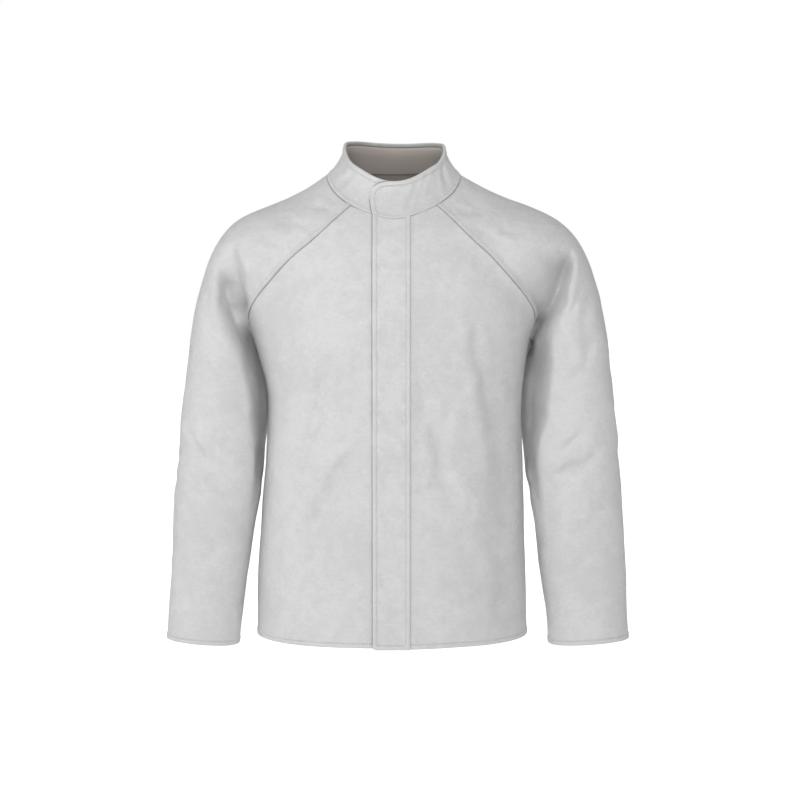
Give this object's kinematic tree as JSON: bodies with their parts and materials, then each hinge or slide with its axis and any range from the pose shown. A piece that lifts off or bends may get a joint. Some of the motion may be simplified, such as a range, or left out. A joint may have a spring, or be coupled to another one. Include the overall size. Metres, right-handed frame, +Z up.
{
  "type": "jacket",
  "caption": "Pale leather jacket with a stand collar, raglan sleeves and a covered front placket, filled out and hollow.",
  "frame": {"origin": "the middle of the neck base, between the wearer's shoulders, where the jacket hangs on its wearer", "axes": "+Z up, +Y to the wearer's back, +X to the wearer's left"},
  "size_m": [0.693, 0.2619, 0.7517],
  "materials": {
    "leather": "smooth, pale grey-white, semi-matte",
    "lining": "matte ribbed cloth"
  },
  "bodies": {
    "root": {"front_right": "leather", "front_left": "leather", "placket": "leather", "back": "leather", "sleeve_right": "leather", "sleeve_left": "leather", "collar": "leather", "collar_lining": "lining", "neck_lining": "lining"}
  },
  "joints": []
}
